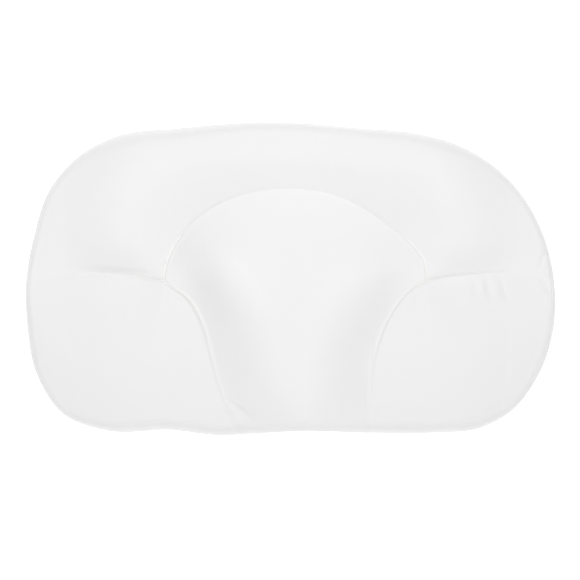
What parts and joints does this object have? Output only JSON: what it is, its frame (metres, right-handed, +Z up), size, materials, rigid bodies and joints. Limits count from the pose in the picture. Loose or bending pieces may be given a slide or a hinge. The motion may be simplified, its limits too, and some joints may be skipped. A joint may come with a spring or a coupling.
{
  "type": "contour pillow",
  "caption": "White contour pillow with a rounded oblong outline, puffed side lobes and a sewn hollow that cradles the head.",
  "frame": {"origin": "on the surface that the pillow rests on, under the middle of its outline", "axes": "+X along the pillow's length, +Y towards the bolster at its back, away from the neck edge, +Z up out of its face"},
  "size_m": [0.6987, 0.4148, 0.1187],
  "materials": {
    "white_knit": "smooth matt white knitted cover"
  },
  "bodies": {
    "root": {"pillow": "white_knit"}
  },
  "joints": []
}
